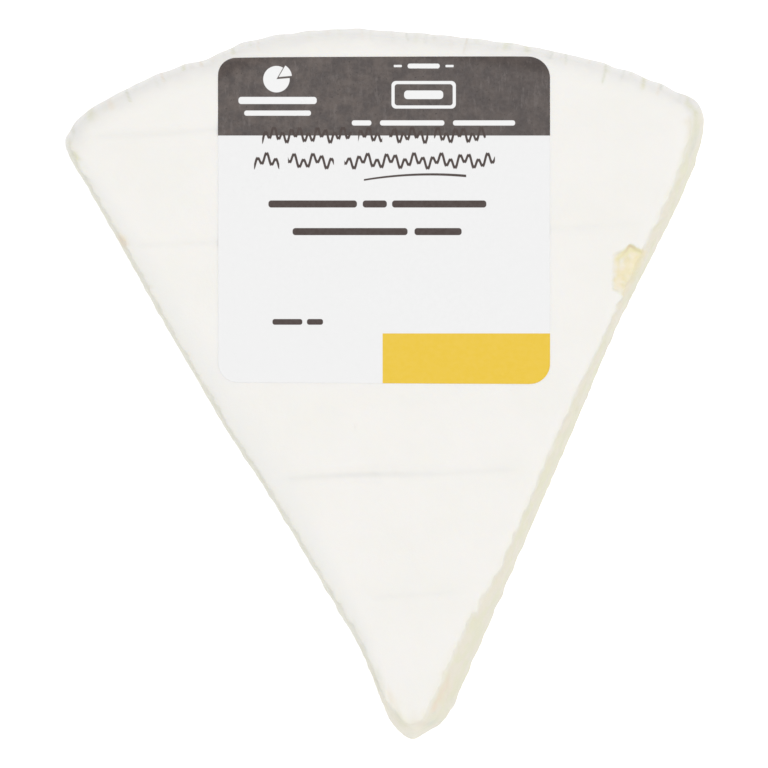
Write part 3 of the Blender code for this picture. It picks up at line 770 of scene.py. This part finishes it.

# Rind: clouded white, with painted shade greying it in the rack marks' grooves, along the left edge where the
# top rolls away from the lamp, and towards the outline round the rim
cloudy = rind.noise(spot, 0.09, 4, 0.6)
rind_colour = rind.mix(rind.ramp(cloudy, 0.35, 0.7), RIND_WHITE, RIND_SHADE)
# Painted shade: the rind is greyed along the rack marks' grooves, where shade falls.
bar_away = rind.math("ABSOLUTE", rind.reading("across_bar"))
groove_shade_share = rind.times(rind.reading("pressed"), rind.ramp(bar_away, *BAR_SHADE_RUN))
rind_colour = rind.mix(groove_shade_share, rind_colour, RIND_GROOVE_SHADE)
# Painted shade along the left edge, where the top rolls off away from the lamp.
left_edge_painted_shade = rind.times(rind.ramp(in_from_edge, *LEFT_SHADE_RUN, 0.0, 0.75), rind.ramp(spot_x, *LEFT_SIDE_RUN))
left_edge_painted_shade = rind.times(left_edge_painted_shade, rind.ramp(rinded_share, 0.4, 0.0))
rind_colour = rind.mix(left_edge_painted_shade, rind_colour, EDGE_PAINTED_SHADE)
# Painted shade: greyer towards the outline all round, where the shoulder turns away from the light.
rind_colour = rind.mix(rind.ramp(in_from_edge, *RIM_SHADE_RUN, 0.0, 0.55), rind_colour, RIM_GREY_PATCH_AND_SHADE)

# Paste: streaked olive and tan, greyer on the left, paler at the tip, and yellow in the chip
streaked = rind.noise(spot, 0.28, 3, 0.5)
paste_colour = rind.mix(rind.ramp(streaked, 0.42, 0.60), PASTE_OLIVE, PASTE_TAN)
paste_colour = rind.mix(rind.ramp(spot_x, *GREY_SIDE_RUN, 0.0, 0.8), paste_colour, PASTE_GREY)
left_tip = rind.times(rind.ramp(spot_y, *PALE_LEFT_Y), rind.ramp(spot_x, *PALE_LEFT_X, 0.0, 0.6))
tip_end = rind.times(rind.ramp(spot_y, *PALE_END_Y), rind.ramp(spot_x, *PALE_END_X, 0.0, 0.75))
paste_colour = rind.mix(rind.math("MAXIMUM", left_tip, tip_end), paste_colour, PASTE_PALE)
chip_colour = rind.mix(rind.ramp(rind.noise(spot, 0.6, 2), 0.4, 0.6), CHIP_CREAM, CHIP_YELLOW)
in_chip = rind.times(rind.ramp(dug_in, *CHIP_RUN), rind.ramp(in_from_edge, *CHIP_EDGE_RUN))
ragged = rind.math("MULTIPLY_ADD", rind.noise(spot, 0.55, 3), RAGGED, -RAGGED / 2)
paste_share = rind.ramp(rind.math("ADD", rind.reading("inside"), ragged), *PASTE_RUN)
colour = rind.mix(paste_share, rind_colour, rind.mix(in_chip, paste_colour, chip_colour))

# The rim: tan patches low on its wall, grey ones along its upper edge, and a painted light on its outermost
# edge, standing in for light from the floor
low_wall = rind.times(rind.ramp(spot_z, *LOW_WALL_RUN), rinded_share)
wall_clouds = rind.ramp(rind.noise(rind.place((1, 1, 1.8)), 0.22, 4, 0.6), 0.42, 0.62, 0.0, 0.8)
colour = rind.mix(rind.times(low_wall, wall_clouds), colour, RIND_TAN)
near_rim = rind.times(rind.ramp(in_from_edge, *PATCH_RUN), rinded_share)
rim_clouds = rind.ramp(rind.noise(spot, 0.4, 2), 0.35, 0.65, 0.0, 0.7)
colour = rind.mix(rind.times(near_rim, rim_clouds), colour, RIM_GREY_PATCH_AND_SHADE)
# Painted light: the outermost edge of the rim is whitened where the floor's light would brighten it.
painted_light_share = rind.times(rind.ramp(in_from_edge, *PAINTED_LIGHT_RUN, 0.0, 0.85), rind.ramp(rinded_share, 0.05, 0.5))
painted_light_share = rind.times(painted_light_share, rind.ramp(spot_x, *PAINTED_LIGHT_END_RUN))
colour = rind.mix(painted_light_share, colour, RIM_PAINTED_LIGHT)

# Stains, broken up a little, the olive tint round the chip's crack, and a painted shadow along it
broken = rind.ramp(rind.noise(spot, 0.9, 3, 0.6), 0.25, 0.65, 0.45, 1.15)
stain_share = rind.math("MULTIPLY", rind.reading("stained"), broken, clamp=True)
tint = rind.reading("stain_tint")
stain_colour = rind.mix(rind.ramp(tint, 0.1, 0.5), STAIN_OLIVE, STAIN_GREY)
stain_colour = rind.mix(rind.ramp(tint, 0.5, 0.9), stain_colour, STAIN_TAN)
colour = rind.mix(stain_share, colour, stain_colour)
crack_away, dug_share = rind.reading("crack"), rind.ramp(dug_in, *CRACK_RUN)
colour = rind.mix(rind.times(rind.ramp(crack_away, *CRACK_HALO_RUN), dug_share), colour, CRACK_OLIVE)
# Painted shadow: a brown line along the crack, where the chip's upper wall is in shade.
colour = rind.mix(rind.times(rind.ramp(crack_away, *CRACK_SHADOW_RUN), dug_share), colour, CRACK_PAINTED_SHADOW)

# Matt rind and moister paste, which lets a little light in, under a velvety grain
RIND_ROUGHNESS, PASTE_ROUGHNESS = 0.85, 0.5
rind.feed(rind.shader.inputs["Base Color"], colour)
rind.feed(rind.shader.inputs["Roughness"], rind.ramp(paste_share, 0, 1, RIND_ROUGHNESS, PASTE_ROUGHNESS))
velvet, speckled = rind.noise(spot, 2.2, 5, 0.7), rind.noise(spot, 1.3, 4, 0.65)
grain = rind.math("MULTIPLY_ADD", speckled, 1.2, velvet)
soft = {"Subsurface_Weight": 0.15, "Subsurface_Radius": (1.0, 0.8, 0.5), "Subsurface_Scale": 1.5 * MM}
rind.surface(grain, 0.18, 0.1 * MM, Specular_IOR_Level=0.3, **soft)
cheese.data.materials.append(rind.material)
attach(cheese, "root")
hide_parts("cheese_wedge")


# The label: a sheet of white paper, printed with a dark band and a yellow block, stuck flat on the rind
# and bent a little over its shoulder at the rim.

LABEL_LEFT, LABEL_RIGHT, LABEL_TOP, LABEL_BOTTOM = -28.87 * MM, 28.87 * MM, 57.05 * MM, 0.0 * MM
LEFT_SHRINK = 0.25 * MM  # the left side is this much shorter at each end
TOP_LEFT_ROUND, TOP_RIGHT_ROUND, LOWER_ROUND = 3.0 * MM, 3.8 * MM, 3.5 * MM
LABEL_THICKNESS, LABEL_GAP = 0.10 * MM, -0.02 * MM
LABEL_RINGS = np.concatenate([np.linspace(0.03, 0.96, 44), [0.975, 0.988, 0.996]])
LABEL_STEP = 0.45 * MM
LABEL_LIFT, LIFT_LENGTH, LIFT_SEED, LIFT_WAVES = 0.02 * MM, 26 * MM, 41, 6
LIFT_EASE = 0.9  # past this share of the way out, the sheet comes down to the rind again


def label_outline():
    """The sheet's edge, anticlockwise: straight sides and a quarter circle at each corner."""
    corners = (
        (LABEL_RIGHT, LABEL_BOTTOM, LOWER_ROUND, -90),
        (LABEL_RIGHT, LABEL_TOP, TOP_RIGHT_ROUND, 0),
        (LABEL_LEFT, LABEL_TOP - LEFT_SHRINK, TOP_LEFT_ROUND, 90),
        (LABEL_LEFT, LABEL_BOTTOM + LEFT_SHRINK, LOWER_ROUND, 180),
    )
    points = []
    for corner_x, corner_y, rounding, start in corners:
        bend = np.radians(start + np.linspace(0, 90, 25))
        middle_x = corner_x - np.copysign(rounding, corner_x)
        middle_y = corner_y - (rounding if start in (0, 90) else -rounding)
        corner = [middle_x + rounding * np.cos(bend), middle_y + rounding * np.sin(bend)]
        points.append(np.column_stack(corner))
    edge = np.concatenate(points)
    edge = np.concatenate([edge, edge[:1]])
    run = running(np.linalg.norm(np.diff(edge, axis=0), axis=1))
    steps = np.linspace(0, run[-1], round(run[-1] / LABEL_STEP) + 1)[:-1]
    return np.interp(steps, run, edge[:, 0]), np.interp(steps, run, edge[:, 1])


edge_reach, edge_shares = outline(turns, TOP_INSET[:, None] + 0 * turns)
edge_drop = by_face(SHOULDER_DEPTH, edge_shares)


def rind_height(x, y):
    """Height of the rind's top at any point: its level, less a quarter ellipse past the flat edge."""
    turn = np.arctan2(y - MIDDLE_Y, x - MIDDLE_X)
    out = np.hypot(x - MIDDLE_X, y - MIDDLE_Y)
    edges = (flat_reach, edge_reach, edge_drop)
    flat, edge, drop = (np.interp(turn, turns, values, period=2 * np.pi) for values in edges)
    share = np.clip((out - flat) / (edge - flat), 0, 1)
    return top_level(x, y) - drop * (1 - np.sqrt(1 - share**2))


def label_sheet():
    """The label as rings about its middle, from the middle of its face over a rounded edge to the middle
    of its back. It lies on the rind and lifts very slightly in slow waves."""
    edge_x, edge_y = label_outline()
    middle_x, middle_y = (LABEL_LEFT + LABEL_RIGHT) / 2, (LABEL_TOP + LABEL_BOTTOM) / 2
    half = LABEL_THICKNESS / 2
    bend = np.radians(np.linspace(90, -90, 7))
    span = (LABEL_RIGHT - LABEL_LEFT) / 2
    shares = np.concatenate([LABEL_RINGS, 1 - half * (1 - np.cos(bend)) / span, LABEL_RINGS[::-1]])
    rise = np.concatenate([0 * LABEL_RINGS + half, half * np.sin(bend), 0 * LABEL_RINGS - half])
    x = middle_x + shares[:, None] * (edge_x - middle_x)
    y = middle_y + shares[:, None] * (edge_y - middle_y)
    lift = LABEL_LIFT * (1 + ripples(x, y, LIFT_LENGTH, LIFT_SEED, LIFT_WAVES) / 2)
    lift = lift * smooth_step(-shares[:, None], -1, -LIFT_EASE)
    z = rind_height(x, y) + LABEL_GAP + lift + half + rise[:, None]
    return x, y, z, (middle_x, middle_y)


label_x, label_y, label_z, label_middle = label_sheet()
label_poles = [(*label_middle, label_z[0].mean()), (*label_middle, label_z[-1].mean())]
label_points = closed_points(label_x, label_y, label_z, label_poles)
label = sheet_object("paper_label", label_points, ring_faces(*label_x.shape))

PAPER_WHITE = (0.762, 0.762, 0.762, 1)
BAND_DARK = (0.062, 0.050, 0.047, 1)
BAND_LIGHT = (0.103, 0.082, 0.073, 1)
BAND_SCUFF, BAND_SPECK = (0.150, 0.128, 0.120, 1), (0.035, 0.026, 0.024, 1)
BLOCK_YELLOW = (0.738, 0.498, 0.031, 1)
INK, INK_WHITE = (0.050, 0.032, 0.027, 1), (0.78, 0.78, 0.78, 1)
# The print, from here on in millimetres. The block runs off the sheet on the right and at the bottom.
INK_EDGE, PEN_EDGE = 0.05, 0.06
BAND_BOTTOM, BAND_DARKENS = 43.2, (-6.0, 22.0)
BLOCK_LEFT, BLOCK_RIGHT, BLOCK_BOTTOM, BLOCK_TOP = -0.25, 119.75, -1.0, 8.8

paper = Recipe("label paper")
spot = paper.place()
across, up, _ = paper.apart(spot)


def off(way, place):
    """How far past a place a point lies: one number less the other."""
    return paper.math("SUBTRACT", way, place)


def gap(way, place):
    """How far from a place a point lies, on either side."""
    return paper.math("ABSOLUTE", off(way, place))


def length_of(first, second):
    """The length of a way across and a way up: the root of the sum of their squares."""
    squares = paper.math("ADD", paper.math("POWER", first, 2.0), paper.math("POWER", second, 2.0))
    return paper.math("SQRT", squares)


def bar(middle_x, middle_y, half_x, half_y, rounding=0.3):
    """Ink share of a rounded bar: 1 where the distance to its core, the bar less its rounding on every
    side, is under the rounding, and 0 past it."""
    past_x = off(gap(across, middle_x), half_x - rounding)
    past_y = off(gap(up, middle_y), half_y - rounding)
    away = length_of(paper.math("MAXIMUM", past_x, 0.0), paper.math("MAXIMUM", past_y, 0.0))
    return paper.ramp(away, rounding + INK_EDGE, rounding - INK_EDGE)


def most(*shares):
    """Several ink shares as one: the greatest of them."""
    total = shares[0]
    for share in shares[1:]:
        total = paper.math("MAXIMUM", total, share)
    return total


def bars(*shapes):
    """Several bars as one ink share."""
    return most(*[bar(*shape) for shape in shapes])


def disc(middle_x, middle_y, radius):
    """Ink share of a round spot: 1 within its radius."""
    away = length_of(gap(across, middle_x), gap(up, middle_y))
    return paper.ramp(away, radius + INK_EDGE, radius - INK_EDGE)


def less(share, cut):
    """An ink share with another one cut out of it."""
    return paper.times(share, paper.math("SUBTRACT", 1.0, cut))


QUICK_SHARE, SLOW_SHARE, SLOW_LENGTH = 0.65, 0.55, 2.7  # of the pen line's height, and of its length


def pen_stroke(middle_y, height, length, half_line):
    """Ink share of a scribbled pen line: the distance to the sum of a quick and a slow sine wave, which
    is the way up to it over the root of 1 plus its slope squared."""
    quick, slow = 2 * np.pi / length, 2 * np.pi / (SLOW_LENGTH * length)
    quick_height, slow_height = QUICK_SHARE * height, SLOW_SHARE * height
    quick_turn, slow_turn = paper.times(across, quick), paper.times(across, slow)
    wave = paper.math("MULTIPLY_ADD", paper.math("SINE", quick_turn), quick_height, middle_y)
    wave = paper.math("MULTIPLY_ADD", paper.math("SINE", slow_turn), slow_height, wave)
    slope = paper.times(paper.math("COSINE", quick_turn), quick_height * quick)
    slope = paper.math("MULTIPLY_ADD", paper.math("COSINE", slow_turn), slow_height * slow, slope)
    steep = paper.math("SQRT", paper.math("MULTIPLY_ADD", slope, slope, 1.0))
    away = paper.math("DIVIDE", gap(up, wave), steep)
    return paper.ramp(away, half_line + PEN_EDGE, half_line - PEN_EDGE)


def past(middle_x, middle_y, turn):
    """1 on the left of a straight line through a place, at this turn in degrees, and 0 on the other side:
    the sign of the cross product of its run and the way from the place."""
    run_x, run_y = np.cos(np.radians(turn)), np.sin(np.radians(turn))
    side = paper.math("MULTIPLY_ADD", off(up, middle_y), run_x, paper.times(off(across, middle_x), -run_y))
    return paper.ramp(side, -INK_EDGE, INK_EDGE)


# A small round with a wedge drawn a little way out of it, between a cut at 5 and one at 60 degrees
ROUND_X, ROUND_Y, ROUND_RADIUS, WEDGE_OUT = -18.7, 53.0, 2.3, 0.3825
FIRST_CUT, SECOND_CUT = 5, 240
notch = paper.times(past(ROUND_X, ROUND_Y, FIRST_CUT), past(ROUND_X, ROUND_Y, SECOND_CUT))
wedge_x, wedge_y = ROUND_X + WEDGE_OUT, ROUND_Y + WEDGE_OUT
wedge = paper.times(past(wedge_x, wedge_y, FIRST_CUT), past(wedge_x, wedge_y, SECOND_CUT))
wedge = paper.times(wedge, disc(wedge_x, wedge_y, ROUND_RADIUS))
round_mark = most(less(disc(ROUND_X, ROUND_Y, ROUND_RADIUS), notch), wedge)
# A frame, and the bars: the middle across and up, half the width and height, and the rounding
frame_mark = less(bar(6.9, 50.3, 5.6, 2.4, 0.8), bar(6.9, 50.3, 5.05, 1.85, 0.5))
white_print = bars(
    (-18.5, 49.3, 6.8, 0.62, 0.5),
    (-18.5, 47.1, 5.8, 0.45, 0.4),
    (6.9, 55.3, 2.8, 0.42, 0.4),
    (2.4, 55.3, 0.7, 0.20, 0.1),
    (11.4, 55.3, 0.7, 0.20, 0.1),
    (6.9, 50.3, 3.4, 0.75, 0.6),
    (-3.9, 45.4, 1.7, 0.45, 0.4),
    (4.9, 45.4, 5.6, 0.45, 0.4),
    (17.4, 45.4, 5.4, 0.45, 0.4),
)
white_print = most(white_print, round_mark, frame_mark)
dark_print = bars(
    (-12.4, 31.3, 7.7, 0.62, 0.5),
    (-1.6, 31.3, 2.1, 0.62, 0.5),
    (9.6, 31.3, 8.2, 0.62, 0.5),
    (-5.9, 26.5, 10.0, 0.62, 0.5),
    (9.4, 26.5, 4.1, 0.62, 0.5),
    (-16.8, 10.8, 2.6, 0.50, 0.4),
    (-12.0, 10.8, 1.4, 0.50, 0.4),
)
upper_words = bars(
    (-13.4, 43.1, 7.8, 1.6, 0.1),
    (-2.4, 43.1, 2.1, 1.6, 0.1),
    (4.3, 43.1, 3.4, 1.6, 0.1),
    (13.2, 43.1, 4.5, 1.6, 0.1),
)
lower_words = bars(
    (-20.4, 38.8, 2.2, 1.6, 0.1),
    (-12.7, 38.8, 4.0, 1.6, 0.1),
    (6.2, 38.8, 13.1, 1.6, 0.1),
)
upper_line = paper.times(upper_words, pen_stroke(43.3, height=1.0, length=1.5, half_line=0.24))
lower_line = paper.times(lower_words, pen_stroke(38.8, height=1.0, length=1.6, half_line=0.24))
# The underline is the sliver between two large circles
underline = less(disc(8.4, -33.5, 70.15), disc(7.9, -34.3, 70.55))
underline = paper.times(underline, bar(5.4, 36.1, 8.9, 2.0, 0.1))
dark_print = most(dark_print, upper_line, lower_line, underline)

# The sheet: white, with the band's mottled, scuffed dark print and the yellow block
mottled = paper.noise(spot, 0.4, 5, 0.7)
specks = paper.noise(spot, 2.2, 4, 0.8)
scuffs = paper.noise(paper.place((1.0, 0.25, 1.0)), 1.1, 5, 0.75)
band = paper.mix(paper.ramp(mottled, 0.35, 0.66), BAND_DARK, BAND_LIGHT)
band = paper.mix(paper.ramp(across, *BAND_DARKENS, 0.0, 0.35), band, BAND_DARK)
band = paper.mix(paper.ramp(scuffs, 0.52, 0.70, 0.0, 0.5), band, BAND_SCUFF)
band = paper.mix(paper.ramp(specks, 0.60, 0.68), band, BAND_SPECK)
in_band = paper.ramp(up, BAND_BOTTOM - PEN_EDGE, BAND_BOTTOM + PEN_EDGE)
base = paper.mix(in_band, PAPER_WHITE, band)
block_x, block_y = (BLOCK_LEFT + BLOCK_RIGHT) / 2, (BLOCK_TOP + BLOCK_BOTTOM) / 2
in_block = bar(block_x, block_y, BLOCK_RIGHT - block_x, BLOCK_TOP - block_y, 0.1)
base = paper.mix(in_block, base, BLOCK_YELLOW)
base = paper.mix(white_print, base, INK_WHITE)
base = paper.mix(dark_print, base, INK)
paper.feed(paper.shader.inputs["Base Color"], base)
paper.feed(paper.shader.inputs["Roughness"], paper.ramp(paper.noise(spot, 1.5, 3), 0.3, 0.7, 0.42, 0.55))
fibres = paper.noise(paper.place((1.0, 0.45, 1.0)), 1.2, 5, 0.6)
paper.surface(fibres, 0.12, 0.05 * MM, Specular_IOR_Level=0.3)
label.data.materials.append(paper.material)
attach(label, "root")
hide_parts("label")
